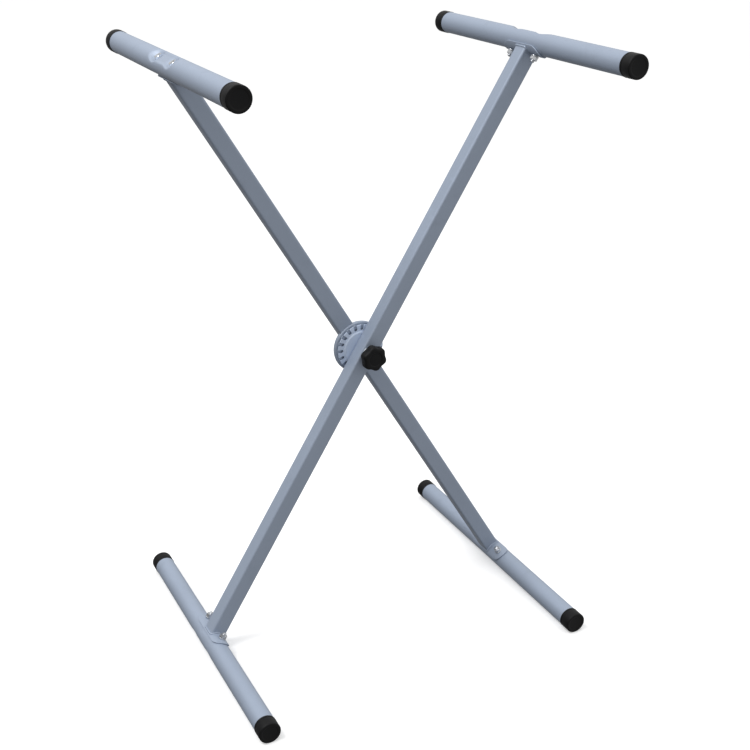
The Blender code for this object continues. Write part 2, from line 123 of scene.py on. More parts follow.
# Pivot
PIVOT_TIP = -0.0409
PIVOT_RADIUS = 0.0040
PIVOT_SEAT = 0.0298
PIVOT_HEAD = 0.0100
PIVOT_RISE = 0.0046
THRUST_FACE = -0.0318
THRUST_SHEET = 0.0020
THRUST_RADIUS = 0.0120

SIDES = {"front": -1, "rear": 1}
OUTWARD = {"arm": 1, "foot": -1}
ENDS = {"front": -1, "back": 1}


class StandSizes(bpy.types.PropertyGroup):
    """Sizes of the fine shapes that the solids leave plain."""

    tube_radius: FloatProperty(
        name="Tube radius", description="Outer radius of the arm and foot tubes",
        default=0.0159, min=0.010, max=0.0162, precision=4, unit="LENGTH",
    )
    dimple_lip: FloatProperty(
        name="Dimple lip", description="How softly a pressed bolt seat runs into the tube",
        default=0.0040, min=0.0002, max=0.006, precision=4, unit="LENGTH",
    )
    cap_edge: FloatProperty(
        name="Cap edge", description="Radius round the outer edge of a plastic cap",
        default=0.0015, min=0.0003, max=0.004, precision=4, unit="LENGTH",
    )
    saddle_edge: FloatProperty(
        name="Saddle edge", description="Radius round the edge of a saddle plate",
        default=0.0005, min=0.0001, max=0.0009, precision=4, unit="LENGTH",
    )
    weld_radius: FloatProperty(
        name="Weld radius", description="Radius of the bead between leg and saddle",
        default=0.0016, min=0.0005, max=0.003, precision=4, unit="LENGTH",
    )
    thread_pitch: FloatProperty(
        name="Thread pitch", description="Pitch of the joint bolts' thread",
        default=0.0010, min=0.0005, max=0.002, precision=4, unit="LENGTH",
    )
    knob_radius: FloatProperty(
        name="Knob radius", description="Mean radius of the knob's lobed grip",
        default=0.0184, min=0.010, max=0.025, precision=4, unit="LENGTH",
    )
    knob_lobe: FloatProperty(
        name="Knob lobe", description="How far the knob's lobes rise and fall from its mean radius",
        default=0.0012, min=0.0, max=0.004, precision=4, unit="LENGTH",
    )
    knob_lobes: IntProperty(
        name="Knob lobes", description="Number of lobes round the knob", default=6, min=3, max=12,
    )


class StandFinish(bpy.types.PropertyGroup):
    """Colours of the finishes and strengths of the light."""

    paint: FloatVectorProperty(
        name="Paint", description="Colour of the silver-grey powder coat",
        default=(0.351, 0.411, 0.514), subtype="COLOR", min=0.0, max=1.0,
    )
    plastic: FloatVectorProperty(
        name="Plastic", description="Colour of the caps and the knob",
        default=(0.005, 0.005, 0.0056), subtype="COLOR", min=0.0, max=1.0,
    )
    zinc: FloatVectorProperty(
        name="Zinc", description="Colour of the plated fasteners",
        default=(0.84, 0.86, 0.89), subtype="COLOR", min=0.0, max=1.0,
    )
    nylon: FloatVectorProperty(
        name="Nylon", description="Colour of the pivot bush",
        default=(0.62, 0.60, 0.55), subtype="COLOR", min=0.0, max=1.0,
    )
    floor: FloatVectorProperty(
        name="Floor", description="Colour of the studio floor",
        default=(0.92, 0.92, 0.92), subtype="COLOR", min=0.0, max=1.0,
    )
    key_strength: FloatProperty(
        name="Key light", description="Power of the large soft light at the upper left, in watts",
        default=82.0, min=0.0,
    )
    overhead_strength: FloatProperty(
        name="Overhead light", description="Brightness of the studio straight above", default=0.79, min=0.0,
    )
    side_strength: FloatProperty(
        name="Side light", description="Brightness of the studio's front and back walls",
        default=0.265, min=0.0,
    )


# Shader recipes

class Wire:
    """An output socket that Python's operators turn into Math nodes."""

    def __init__(self, recipe, socket):
        self.recipe = recipe
        self.socket = socket

    def _math(self, operation, first, second):
        return self.recipe.node("ShaderNodeMath", {"operation": operation}, {0: first, 1: second})

    def __add__(self, other):
        return self._math("ADD", self, other)

    def __radd__(self, other):
        return self._math("ADD", other, self)

    def __sub__(self, other):
        return self._math("SUBTRACT", self, other)

    def __rsub__(self, other):
        return self._math("SUBTRACT", other, self)

    def __mul__(self, other):
        return self._math("MULTIPLY", self, other)

    def __rmul__(self, other):
        return self._math("MULTIPLY", other, self)


class Recipe:
    """The node tree of a material or of the world, written from its shader backwards."""

    def __init__(self, owner):
        self.owner = owner
        self.owner.use_nodes = True
        self.tree = self.owner.node_tree
        self.shader = self.tree.nodes.get("Principled BSDF")

    def node(self, kind, settings=None, sockets=None, output=0):
        """Adds a node: its settings come first, then the values or links of its sockets."""
        item = self.tree.nodes.new(kind)
        for name, value in (settings or {}).items():
            if name == "stops":
                self.set_stops(item.color_ramp, value)
            else:
                setattr(item, name, value)
        for name, value in (sockets or {}).items():
            self.feed(item.inputs[name], value)
        return Wire(self, item.outputs[output])

    def set_stops(self, ramp, stops):
        while len(ramp.elements) < len(stops):
            ramp.elements.new(1.0)
        for element, (position, level) in zip(ramp.elements, stops):
            element.position = position
            element.color = (level, level, level, 1.0)

    def feed(self, socket, value):
        if isinstance(value, Wire):
            self.tree.links.new(value.socket, socket)
        elif socket.type == "RGBA":
            socket.default_value = (*value[:3], 1.0)
        else:
            socket.default_value = value

    def set(self, **values):
        """Sets the shader's own sockets, named with underscores."""
        for name, value in values.items():
            self.feed(self.shader.inputs[name.replace("_", " ")], value)

    def place(self):
        return self.node("ShaderNodeTexCoord", output="Object")

    def noise(self, scale, detail=3.0, roughness=0.5, stretch=None):
        where = self.place()
        if stretch:
            where = self.node("ShaderNodeMapping", {}, {"Vector": where, "Scale": stretch})
        return self.node(
            "ShaderNodeTexNoise", {},
            {"Vector": where, "Scale": scale, "Detail": detail, "Roughness": roughness},
        )

    def ramp(self, source, *stops):
        return self.node("ShaderNodeValToRGB", {"stops": stops}, {"Fac": source})

    def blend(self, factor, first, second):
        return self.node(
            "ShaderNodeMix", {"data_type": "RGBA"}, {"Factor": factor, 6: first, 7: second}, output=2,
        )

    def edges(self, radius):
        """A mask that rises where the surface turns a tight outside or inside corner."""
        soft = self.node("ShaderNodeBevel", {"samples": 4}, {"Radius": radius}, output="Normal")
        sharp = self.node("ShaderNodeNewGeometry", output="Normal")
        dot = {"operation": "DOT_PRODUCT"}
        same = self.node("ShaderNodeVectorMath", dot, {0: soft, 1: sharp}, output="Value")
        return self.ramp(1.0 - same, (0.02, 0.0), (0.22, 1.0))

    def bump(self, height, strength, distance, under=None):
        sockets = {"Height": height, "Strength": strength, "Distance": distance}
        if under:
            sockets["Normal"] = under
        return self.node("ShaderNodeBump", {}, sockets)


def shade(colour, factor):
    return tuple(min(1.0, channel * factor) for channel in colour)


def mix_paint(look, name="silver_paint", lift=1.0):
    """Satin powder coat: orange peel, fine metal flake, faint rubs, dirt and paler worn edges."""
    mix = Recipe(bpy.data.materials.new(name))
    clouds = mix.noise(9.0, 2.0)
    flake = mix.ramp(mix.noise(5200.0, 1.0), (0.45, 0.0), (0.75, 1.0))
    rubs = mix.ramp(mix.noise(60.0, 5.0, 0.65, (1.0, 0.25, 1.0)), (0.60, 0.0), (0.74, 1.0))
    dirt = mix.ramp(mix.noise(24.0, 6.0, 0.70), (0.56, 0.0), (0.74, 1.0))
    wear = mix.edges(0.0009) * mix.ramp(mix.noise(45.0, 4.0), (0.42, 0.0), (0.62, 1.0))
    # Every tone is multiplied by lift; above 1 it brightens the coat as painted light.
    body = mix.blend(clouds, shade(look.paint, 0.95 * lift), shade(look.paint, 1.05 * lift))
    body = mix.blend(flake * 0.26, body, shade(look.paint, 1.6 * lift))
    body = mix.blend(rubs * 0.22, body, shade(look.paint, 1.35 * lift))
    body = mix.blend(dirt * 0.16, body, shade(look.paint, 0.55 * lift))
    body = mix.blend(wear * 0.45, body, (0.62, 0.64, 0.68))
    mix.set(
        Base_Color=body, Metallic=0.20, Roughness=0.44 + rubs * 0.12 + dirt * 0.10 + clouds * 0.06,
        Coat_Weight=0.08, Coat_Roughness=0.35,
        Normal=mix.bump(mix.noise(620.0, 2.0), 0.30, 0.0002),
    )
    return mix.owner


def mix_disc_paint(look):
    """The same coat on the pressed front disc, brightened 1.8 times as painted light, standing in for the brighter
    light that falls on the disc.
    """
    # Painted light: every tone of the coat is brightened 1.8 times on this disc.
    return mix_paint(look, "disc_paint", 1.8)


def mix_plastic(look):
    """Moulded black plastic: spark-eroded grain, dull scuffs and a little dust in its corners."""
    mix = Recipe(bpy.data.materials.new("black_plastic"))
    grain = mix.noise(2600.0, 2.0, 0.6)
    scuffs = mix.ramp(mix.noise(90.0, 6.0, 0.7, (1.0, 0.2, 1.0)), (0.58, 0.0), (0.72, 1.0))
    edge = mix.edges(0.0008)
    body = mix.blend(scuffs * 0.35, look.plastic, shade(look.plastic, 2.6))
    body = mix.blend(edge * 0.25, body, shade(look.plastic, 4.0))
    mix.set(
        Base_Color=body, Roughness=0.46 + scuffs * 0.16 + grain * 0.08, IOR=1.49, Specular_IOR_Level=0.24,
        Normal=mix.bump(grain, 0.22, 0.0002),
    )
    return mix.owner


def mix_zinc(look):
    """Bright zinc plate with cloudy passivation, fine drawing marks, and painted shade darkening its edges and
    corners.
    """
    mix = Recipe(bpy.data.materials.new("bright_zinc"))
    clouds = mix.ramp(mix.noise(260.0, 3.0), (0.35, 0.0), (0.65, 1.0))
    marks = mix.noise(900.0, 3.0, 0.6, (1.0, 1.0, 0.12))
    body = mix.blend(clouds, shade(look.zinc, 0.80), look.zinc)
    # Painted shade: the plate is darkened to half along its edges and in its inside corners.
    body = mix.blend(mix.edges(0.0005) * 0.35, body, shade(look.zinc, 0.50))
    mix.set(
        Base_Color=body, Metallic=1.0, Roughness=0.16 + clouds * 0.08 + marks * 0.08,
        Normal=mix.bump(marks, 0.16, 0.0001),
    )
    return mix.owner


def mix_spring(look):
    """Blued spring steel."""
    mix = Recipe(bpy.data.materials.new("spring_steel"))
    clouds = mix.noise(180.0, 3.0)
    mix.set(
        Base_Color=mix.blend(clouds, (0.16, 0.17, 0.21), (0.30, 0.30, 0.33)), Metallic=1.0,
        Roughness=0.30 + clouds * 0.15, Normal=mix.bump(mix.noise(1200.0, 2.0), 0.08, 0.0001),
    )
    return mix.owner


def mix_nylon(look):
    """Natural nylon with a greasy sheen."""
    mix = Recipe(bpy.data.materials.new("natural_nylon"))
    clouds = mix.noise(220.0, 3.0)
    mix.set(
        Base_Color=mix.blend(clouds, shade(look.nylon, 0.85), look.nylon),
        Roughness=0.38 + clouds * 0.15, Normal=mix.bump(mix.noise(1500.0, 2.0), 0.10, 0.0001),
    )
    return mix.owner


def mix_floor(look):
    """Plain matt studio paper, lit faintly from below as on a photographer's light table."""
    mix = Recipe(bpy.data.materials.new("studio_floor"))
    fibres = mix.noise(140.0, 4.0)
    mix.set(
        Base_Color=mix.blend(fibres, shade(look.floor, 0.99), look.floor), Roughness=0.9,
        Specular_IOR_Level=0.1, Emission_Color=(1.0, 1.0, 1.0), Emission_Strength=0.30,
        Normal=mix.bump(fibres, 0.03, 0.0002),
    )
    return mix.owner


RECIPES = {
    "silver_paint": mix_paint,
    "disc_paint": mix_disc_paint,
    "black_plastic": mix_plastic,
    "bright_zinc": mix_zinc,
    "spring_steel": mix_spring,
    "natural_nylon": mix_nylon,
    "studio_floor": mix_floor,
}


def finish(name):
    """The named finish, mixed on first use."""
    known = bpy.data.materials.get(name)
    if known and known.get("mixed"):
        return known
    if known:
        known.name = name + "_plain"
    fresh = RECIPES[name](bpy.context.scene.stand_finish)
    fresh["mixed"] = True
    return fresh


# Meshes

class Skin:
    """A mesh made of rings of points with faces between them."""

    def __init__(self):
        self.mesh = bmesh.new()

    def loft(self, rings, fill_start=False, fill_end=False):
        rows = [[self.mesh.verts.new(point) for point in ring] for ring in rings]
        for near, far in zip(rows, rows[1:]):
            for k in range(len(near)):
                j = (k + 1) % len(near)
                self.mesh.faces.new((near[k], near[j], far[j], far[k]))
        if fill_start:
            self.mesh.faces.new(rows[0])
        if fill_end:
            self.mesh.faces.new(rows[-1])

    def turn(self, profile, steps, fill_start=False, fill_end=False):
        """Turns (radius, height) points about Z."""
        self.loft(circles(profile, steps), fill_start, fill_end)


def ring(radius_at, height, steps):
    """Points round Z, with the radius given by angle."""
    angles = [math.tau * k / steps for k in range(steps)]
    return [(radius_at(a) * math.cos(a), radius_at(a) * math.sin(a), height) for a in angles]


def circles(profile, steps):
    """Plain round rings at (radius, height) points."""
    return [ring(lambda angle, r=r: r, z, steps) for r, z in profile]


def arc(centre_r, centre_z, radius, start, stop, steps=6):
    """Profile points on an arc, with angles in degrees from the radial direction."""
    points = []
    for k in range(steps + 1):
        a = math.radians(start + (stop - start) * k / steps)
        points.append((centre_r + radius * math.cos(a), centre_z + radius * math.sin(a)))
    return points


def round_rim(radius, low, high, soft, steps):
    """Profile of an outer rim with its two edges rounded, from its low to its high face."""
    inner = radius - soft
    return arc(inner, low + soft, soft, -90, 0, steps) + arc(inner, high - soft, soft, 0, 90, steps)


def add_piece(skin, name, matrix, look, body, stands_for=(), sharp=40):
    """Makes the skin an object of the given finish that rides on a body."""
    bmesh.ops.recalc_face_normals(skin.mesh, faces=skin.mesh.faces)
    skin.mesh.transform(matrix)
    mesh = bpy.data.meshes.new(name)
    skin.mesh.to_mesh(mesh)
    skin.mesh.free()
    mesh.shade_smooth()
    mesh.set_sharp_from_angle(angle=math.radians(sharp))
    mesh.materials.append(finish(look))
    item = bpy.data.objects.new(name, mesh)
    bpy.context.scene.collection.objects.link(item)
    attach(item, body)
    if stands_for:
        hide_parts(*stands_for)
    return item


def joint_matrix(side, part):
    """A tube joint's own frame: Y along the tube, Z away from the pivot."""
    turn = -SIDES[side] * HALF_OPENING
    matrix = Matrix.Translation((0, 0, PIVOT_HEIGHT)) @ Matrix.Rotation(turn, 4, "Y")
    matrix @= Matrix.Translation((0, SIDES[side] * TUBE_OFFSET, OUTWARD[part] * DISTANCE[part]))
    if OUTWARD[part] < 0:
        matrix @= Matrix.Rotation(math.pi, 4, "Y")
    return matrix


def each_joint():
    return [(side, part) for side in SIDES for part in DISTANCE]


def each_bolt():
    """Side, part, end and frame of each of the eight bolts, with Z away from the pivot."""
    for side, part in each_joint():
        for end, sign in ENDS.items():
            offset = Matrix.Translation((0, sign * BOLT_PITCH / 2, 0))
            yield side, part, end, joint_matrix(side, part) @ offset


def soft_min(first, second, reach):
    """The smaller of two heights, with the corner between them rounded over the given reach."""
    near = max(reach - abs(first - second), 0.0) / reach
    return min(first, second) - near * near * reach / 4


# Tubes

def pressed_height(x, y, height, lip):
    """Height of the tube's skin over its axis, with its bolt seats and the bed between them pressed in."""
    along = max(abs(y) - BOLT_PITCH / 2, 0.0)
    presses = [(math.hypot(x, along), DIMPLE_BED)]
    presses += [(math.hypot(x, y - seat), DIMPLE_SEAT) for seat in (-BOLT_PITCH / 2, BOLT_PITCH / 2)]
    for distance, floor in presses:
        slope = -soft_min(0.0, DIMPLE_FLOOR - distance, lip / 2) * DIMPLE_SLOPE
        height = soft_min(height, floor + slope, lip)
    return height


def spaced(start, stop, step):
    count = max(1, round((stop - start) / step))
    return [start + (stop - start) * k / count for k in range(count)]


def tube_angles():
    """Angles from the outward side, close together where the seats are."""
    reach, fine, coarse = 56, 1.75, 6.2
    degrees = spaced(-reach, reach, fine) + spaced(reach, 360 - reach, coarse)
    return [math.radians(d) for d in degrees]


def tube_stations(half):
    """Places along the tube, close together where the seats are."""
    reach, fine, middle, coarse = 0.021, 0.0007, 0.002, 0.012
    inner, outer = BOLT_PITCH / 2 - reach, BOLT_PITCH / 2 + reach
    stations = spaced(-half, -outer, coarse) + spaced(-outer, -inner, fine) + spaced(-inner, inner, middle)
    return stations + spaced(inner, outer, fine) + spaced(outer, half, coarse) + [half]


def tube_skin(sizes, half):
    """A tube with pressed bolt seats, and the start of its bore at each end."""
    skin = Skin()
    angles = tube_angles()
    radius = sizes.tube_radius
    rings = []
    for y in tube_stations(half):
        points = []
        for a in angles:
            x = radius * math.sin(a)
            points.append((x, y, pressed_height(x, y, radius * math.cos(a), sizes.dimple_lip)))
        rings.append(points)
    bore, depth = radius - TUBE_WALL, 0.004
    for rim, inward in ((rings[0], depth), (rings[-1], -depth)):
        inner = [(x * bore / radius, y, z * bore / radius) for x, y, z in rim]
        deep = [(x, y + inward, z) for x, y, z in inner]
        if inward > 0:
            rings = [deep, inner] + rings
        else:
            rings = rings + [inner, deep]
    skin.loft(rings)
    return skin


class STAND_OT_tubes(bpy.types.Operator):
    """Adds the two arm tubes and the two foot tubes, with their pressed bolt seats"""

    bl_idname = "stand.tubes"
    bl_label = "Tubes"

    def execute(self, context):
        sizes = context.scene.stand_sizes
        for side, part in each_joint():
            name = f"{side}_{part}_tube"
            skin = tube_skin(sizes, LENGTH[part] / 2 - CAP_HEAD)
            add_piece(
                skin, name + "_shell", joint_matrix(side, part), "silver_paint", f"{side}_frame", [name],
            )
        return {"FINISHED"}


# Caps

def cap_skin(edge):
    """A plug's head, from its dished outer face at Z = 0 inwards to the tube's end."""
    face = [(0.0006, 0.0007), (0.0110, 0.0006), (0.0118, 0.0005), (0.0124, 0.0001), (0.0130, 0.0)]
    corner = arc(CAP_RADIUS - edge, edge, edge, -90, 0)
    groove = [
        (CAP_RADIUS, 0.0152), (CAP_RADIUS - 0.0001, 0.0155), (CAP_RADIUS - 0.0005, 0.0157),
        (CAP_RADIUS - 0.0005, 0.0163), (CAP_RADIUS - 0.0001, 0.0165), (CAP_RADIUS, 0.0168),
    ]
    lip = arc(CAP_RADIUS - 0.0005, CAP_HEAD - 0.0008, 0.0005, 0, 90, 4) + [(0.0146, CAP_HEAD - 0.0003)]
    skin = Skin()
    skin.turn(face + corner + groove + lip, 96, True, True)
    return skin


class STAND_OT_caps(bpy.types.Operator):
    """Adds the eight plastic caps at the ends of the tubes"""

    bl_idname = "stand.caps"
    bl_label = "Caps"

    def execute(self, context):
        for side, part in each_joint():
            for end, sign in ENDS.items():
                name = f"{side}_{part}_cap_{end}"
                matrix = joint_matrix(side, part) @ Matrix.Translation((0, sign * LENGTH[part] / 2, 0))
                matrix @= Matrix.Rotation(math.radians(90 * sign), 4, "X")
                skin = cap_skin(context.scene.stand_sizes.cap_edge)
                add_piece(skin, name + "_head", matrix, "black_plastic", f"{side}_frame", [name])
        return {"FINISHED"}


# Saddles

def oval(half_width, half_length, inset, steps=14):
    """A plan outline with round ends, drawn in by an inset."""
    radius = half_width - inset
    straight = half_length - half_width
    points = []
    for sign, start in ((1, 0), (-1, 180)):
        for k in range(steps + 1):
            a = math.radians(start + 180 * k / steps)
            points.append((radius * math.cos(a), sign * straight + radius * math.sin(a)))
    return points


def saddle_skin(edge):
    """A sheet bent round the tube's leg side, its sheared edges a little rounded."""
    middle = SADDLE_INSIDE + SADDLE_SHEET / 2
    half_width = middle * SADDLE_WRAP
    face = SADDLE_SHEET / 2
    levels = [(half_width - 0.0004, face), (half_width * 0.5, face), (edge * 2, face)]
    levels += [(edge - r, z + face - edge) for r, z in arc(0, 0, edge, 90, 0, 4)]
    levels += [(inset, -rise) for inset, rise in levels[::-1]]
    rings = []
    for inset, rise in levels:
        points = []
        for s, y in oval(half_width, SADDLE_LENGTH / 2, inset):
            a = s / middle
            points.append(((middle + rise) * math.sin(a), y, -(middle + rise) * math.cos(a)))
        rings.append(points)
    skin = Skin()
    skin.loft(rings, True, True)
    return skin


class STAND_OT_saddles(bpy.types.Operator):
    """Adds the four curved plates between the legs and the tubes"""

    bl_idname = "stand.saddles"
    bl_label = "Saddles"

    def execute(self, context):
        for side, part in each_joint():
            name = f"{side}_{part}_saddle"
            skin = saddle_skin(context.scene.stand_sizes.saddle_edge)
            add_piece(
                skin, name + "_plate", joint_matrix(side, part), "silver_paint", f"{side}_frame", [name],
            )
        return {"FINISHED"}


# Welds

def leg_outline(corner=0.0030, steps=180):
    """Evenly spaced points and outward directions round the square leg, with the distance run."""
    half = LEG_SIDE / 2 - corner
    straight = 2 * half
    quarter = corner * math.pi / 2
    total = 4 * (straight + quarter)
    for k in range(steps):
        run = total * k / steps
        turn, rest = divmod(run, straight + quarter)
        if rest < straight:
            point, normal = Vector((half + corner, rest - half)), Vector((1, 0))
        else:
            a = (rest - straight) / corner
            normal = Vector((math.cos(a), math.sin(a)))
            point = Vector((half, half)) + corner * normal
        spin = Matrix.Rotation(turn * math.pi / 2, 2)
        yield spin @ point, spin @ normal, run


def weld_skin(side, radius):
    """A rippled bead where the leg's end meets its saddle."""
    shift = SIDES[side] * (LEG_OFFSET - TUBE_OFFSET)
    pitch, drift, steps = 0.0021, 310, 10
    rings = []
    for point, normal, run in leg_outline():
        drop = -math.sqrt(max(SADDLE_OUTSIDE ** 2 - point.x ** 2, 0.0))
        ripple = radius * (1 + 0.10 * math.sin(run / pitch * math.tau) + 0.06 * math.sin(run * drift))
        centre = Vector((point.x, point.y + shift, drop))
        across = Vector((normal.x, normal.y, 0))
        section = []
        for k in range(steps):
            a = math.tau * k / steps
            section.append(centre + ripple * (math.cos(a) * across + math.sin(a) * Vector((0, 0, 1))))
        rings.append(section)
    rings.append(rings[0])
    skin = Skin()
    skin.loft(rings)
    bmesh.ops.remove_doubles(skin.mesh, verts=skin.mesh.verts, dist=1e-6)
    return skin


class STAND_OT_welds(bpy.types.Operator):
    """Adds the weld beads that join the legs to their saddles"""

    bl_idname = "stand.welds"
    bl_label = "Welds"

    def execute(self, context):
        for side, part in each_joint():
            skin = weld_skin(side, context.scene.stand_sizes.weld_radius)
            add_piece(
                skin, f"{side}_{part}_weld", joint_matrix(side, part), "silver_paint",
                f"{side}_frame", sharp=70,
            )
        return {"FINISHED"}


# Fasteners

def hexagon_radius(angle, flats):
    """Radius of a hexagon with slightly rounded corners."""
    turned = (angle + math.pi / 6) % (math.pi / 3) - math.pi / 6
    return min(flats / 2 / math.cos(turned), flats / 2 * 1.135)


def hexagon_rings(flats, low, high, chamfer_low, chamfer_high):
    """Rings of a hexagon body whose corners are turned off at one or both ends."""
    turned = flats / 2 * 0.96

    def slope(angle):
        return (hexagon_radius(angle, flats) - turned) * math.tan(math.radians(30))

    angles = [math.tau * k / HEXAGON_STEPS for k in range(HEXAGON_STEPS)]
    rings = []
    for level, sign, chamfered in ((low, 1, chamfer_low), (high, -1, chamfer_high)):
        face = ring(lambda angle: turned, level, HEXAGON_STEPS)
        edge = []
        for a in angles:
            r = hexagon_radius(a, flats)
            edge.append((r * math.cos(a), r * math.sin(a), level + (sign * slope(a) if chamfered else 0.0)))
        rings += [face, edge] if sign > 0 else [edge, face]
    return rings


def thread_rings(radius, pitch, low, high, steps=36):
    """Rings of a helical thread, with its last turn run out to a point."""
    depth = pitch * 0.55
    rows = max(2, round((high - low) / (pitch / 8)))
    rings = []
    for k in range(rows + 1):
        z = low + (high - low) * k / rows
        taper = min(1.0, (z - low) / (pitch * 0.8))

        def radius_at(angle, z=z, taper=taper):
            phase = (z / pitch - angle / math.tau) % 1.0
            crest = 1.0 - abs(2.0 * phase - 1.0)
            return radius - depth * (1.0 - min(1.0, crest * 1.25)) - (1.0 - taper) * depth * 1.3

        rings.append(ring(radius_at, z, steps))
    return rings


def bolt_skin(pitch):
    """A hexagon head in its seat, and the threaded end from the washer to beyond the nut."""
    head = DIMPLE_SEAT + GAP
    top = head + HEAD_HEIGHT
    skin = Skin()
    dish = circles([(0.0040, top), (0.0034, top - 0.0003)], HEXAGON_STEPS)
    skin.loft(hexagon_rings(HEAD_FLATS, head, top, False, True) + dish, True, True)
    skin.loft(thread_rings(BOLT_RADIUS, pitch, NUT_SEAT - NUT_HEIGHT - BOLT_TIP, NUT_SEAT), True, True)
    return skin


def nut_skin():
    """A chamfered hexagon nut, countersunk at its thread."""
    face = NUT_SEAT - NUT_HEIGHT
    sink = circles([(0.0029, face + 0.0008), (0.0036, face)], HEXAGON_STEPS)
    skin = Skin()
    skin.loft(sink + hexagon_rings(HEAD_FLATS, face, NUT_SEAT, True, True), True, True)
    return skin


def washer_skin():
    """A plain washer with rolled edges."""
    top = -SADDLE_OUTSIDE - GAP
    low = top - WASHER_SHEET
    rim = round_rim(WASHER_RADIUS, low, top, WASHER_SHEET * 0.35, 4)
    skin = Skin()
    skin.turn([(0.0032, low + 0.0001), (0.0034, low)] + rim + [(0.0032, top)], 64, True, True)
    return skin


class STAND_OT_bolts(bpy.types.Operator):
    """Adds the eight hexagon bolts of the tube joints"""

    bl_idname = "stand.bolts"
    bl_label = "Bolts"

    def execute(self, context):
        for side, part, end, matrix in each_bolt():
            name = f"{side}_{part}_bolt_{end}"
            skin = bolt_skin(context.scene.stand_sizes.thread_pitch)
            add_piece(skin, name + "_fine", matrix, "bright_zinc", f"{side}_frame", [name], sharp=28)
        return {"FINISHED"}


class STAND_OT_nuts(bpy.types.Operator):
    """Adds the nuts and washers on the leg side of the tube joints"""

    bl_idname = "stand.nuts"
    bl_label = "Nuts and Washers"

    def execute(self, context):
        for side, part, end, matrix in each_bolt():
            for kind, skin in (("nut", nut_skin()), ("washer", washer_skin())):
                name = f"{side}_{part}_{kind}_{end}"
                add_piece(skin, name + "_fine", matrix, "bright_zinc", f"{side}_frame", [name], sharp=28)
        return {"FINISHED"}


# Knob

def knob_skin(sizes):
    """A lobed grip on a flared hub, with a dished front."""
    steps = 24 * sizes.knob_lobes

    def outline(inset):
        def radius_at(angle):
            wave = math.cos(sizes.knob_lobes * (angle - KNOB_PHASE))
            return sizes.knob_radius + sizes.knob_lobe * wave - inset
        return radius_at

    depth = KNOB_FRONT - KNOB_SKIRT
    levels = [(0.0040, 0.0), (0.0016, 0.0002), (0.0006, 0.0007), (0.0001, 0.0016), (0.0, 0.0026)]
    levels += [(0.0002, depth - 0.0034), (0.0005, depth - 0.0022), (0.0011, depth - 0.0011)]
    levels += [(0.0020, depth - 0.0004), (0.0032, depth - 0.0001), (0.0046, depth)]
    hub = [(-0.0004, 0.0), (0.0, 0.0004), (0.0006, 0.0024), (0.0018, 0.0038)]
    front = [(0.0112, 0.0), (0.0106, 0.0002), (0.0100, 0.0009), (0.0060, 0.0006), (0.0012, 0.0004)]
    rings = circles([(KNOB_HUB + flare, KNOB_BACK + z) for flare, z in hub], steps)
    rings += [ring(outline(inset), KNOB_SKIRT + z, steps) for inset, z in levels]
    rings += circles([(r, KNOB_FRONT - z) for r, z in front], steps)
    skin = Skin()
    skin.loft(rings, True, True)
    return skin


class STAND_OT_knob(bpy.types.Operator):
    """Adds the lobed knob that closes the clutch"""

    bl_idname = "stand.knob"
    bl_label = "Knob"

    def execute(self, context):
        matrix = Matrix.Translation((0, 0, PIVOT_HEIGHT)) @ Matrix.Rotation(math.radians(90), 4, "X")
        skin = knob_skin(context.scene.stand_sizes)
        add_piece(skin, "clutch_knob_grip", matrix, "black_plastic", "knob", ["clutch_knob"])
        return {"FINISHED"}


# Clutch and pivot

def pivot_matrix(turn=0.0):
    """Turns local Z onto +Y at the clutch's middle, with an own turn about that axis."""
    matrix = Matrix.Translation((0, 0, PIVOT_HEIGHT)) @ Matrix.Rotation(turn, 4, "Y")
    return matrix @ Matrix.Rotation(math.radians(-90), 4, "X")


def washer_turn(profile, steps):
    """A closed section turned about Z."""
    skin = Skin()
    skin.turn(profile + profile[:1], steps)
    bmesh.ops.remove_doubles(skin.mesh, verts=skin.mesh.verts, dist=1e-7)
    return skin


def front_disc_skin():
    """A pressed disc: a boss that meets the leg, a soft step down and a flat flange."""
    edge = 0.0004
    low, high = FLANGE_FACE, FLANGE_FACE + DISC_SHEET
    front = [
        (DISC_BORE["front"], BOSS_FACE), (BOSS_RADIUS - 0.0012, BOSS_FACE),
        (BOSS_RADIUS - 0.0004, BOSS_FACE + 0.0001), (BOSS_RADIUS + 0.0002, BOSS_FACE + 0.0004),
        (BOSS_RADIUS + 0.0012, low - 0.0004), (BOSS_RADIUS + 0.0018, low - 0.0001),
        (BOSS_RADIUS + 0.0026, low),
    ]
    rim = round_rim(FRONT_RADIUS, low, high, edge, 3)
    back = [
        (BOSS_RADIUS + 0.0014, high), (BOSS_RADIUS - 0.0002, BOSS_FACE + DISC_SHEET + 0.0003),
        (BOSS_RADIUS - 0.0014, BOSS_FACE + DISC_SHEET), (DISC_BORE["front"], BOSS_FACE + DISC_SHEET),
    ]
    return washer_turn(front + rim + back, DISC_STEPS)


def rear_disc_skin():
    """A pressed disc whose rim is bent back round the leg."""
    edge = 0.0004
    bend_r, bend_z = REAR_RADIUS - BEND_RADIUS, WEB_FACE + BEND_RADIUS
    outer = arc(bend_r, bend_z, BEND_RADIUS, -90, 0)
    lip = arc(REAR_RADIUS - edge, RIM_END - edge, edge, 0, 90, 3)
    lip += arc(REAR_RADIUS - DISC_SHEET + edge, RIM_END - edge, edge, 90, 180, 3)
    inner = arc(bend_r, bend_z, BEND_RADIUS - DISC_SHEET, 0, -90, 4)
    bore = DISC_BORE["rear"]
    profile = [(bore, WEB_FACE)] + outer + lip + inner + [(bore, WEB_FACE + DISC_SHEET)]
    return washer_turn(profile, DISC_STEPS)


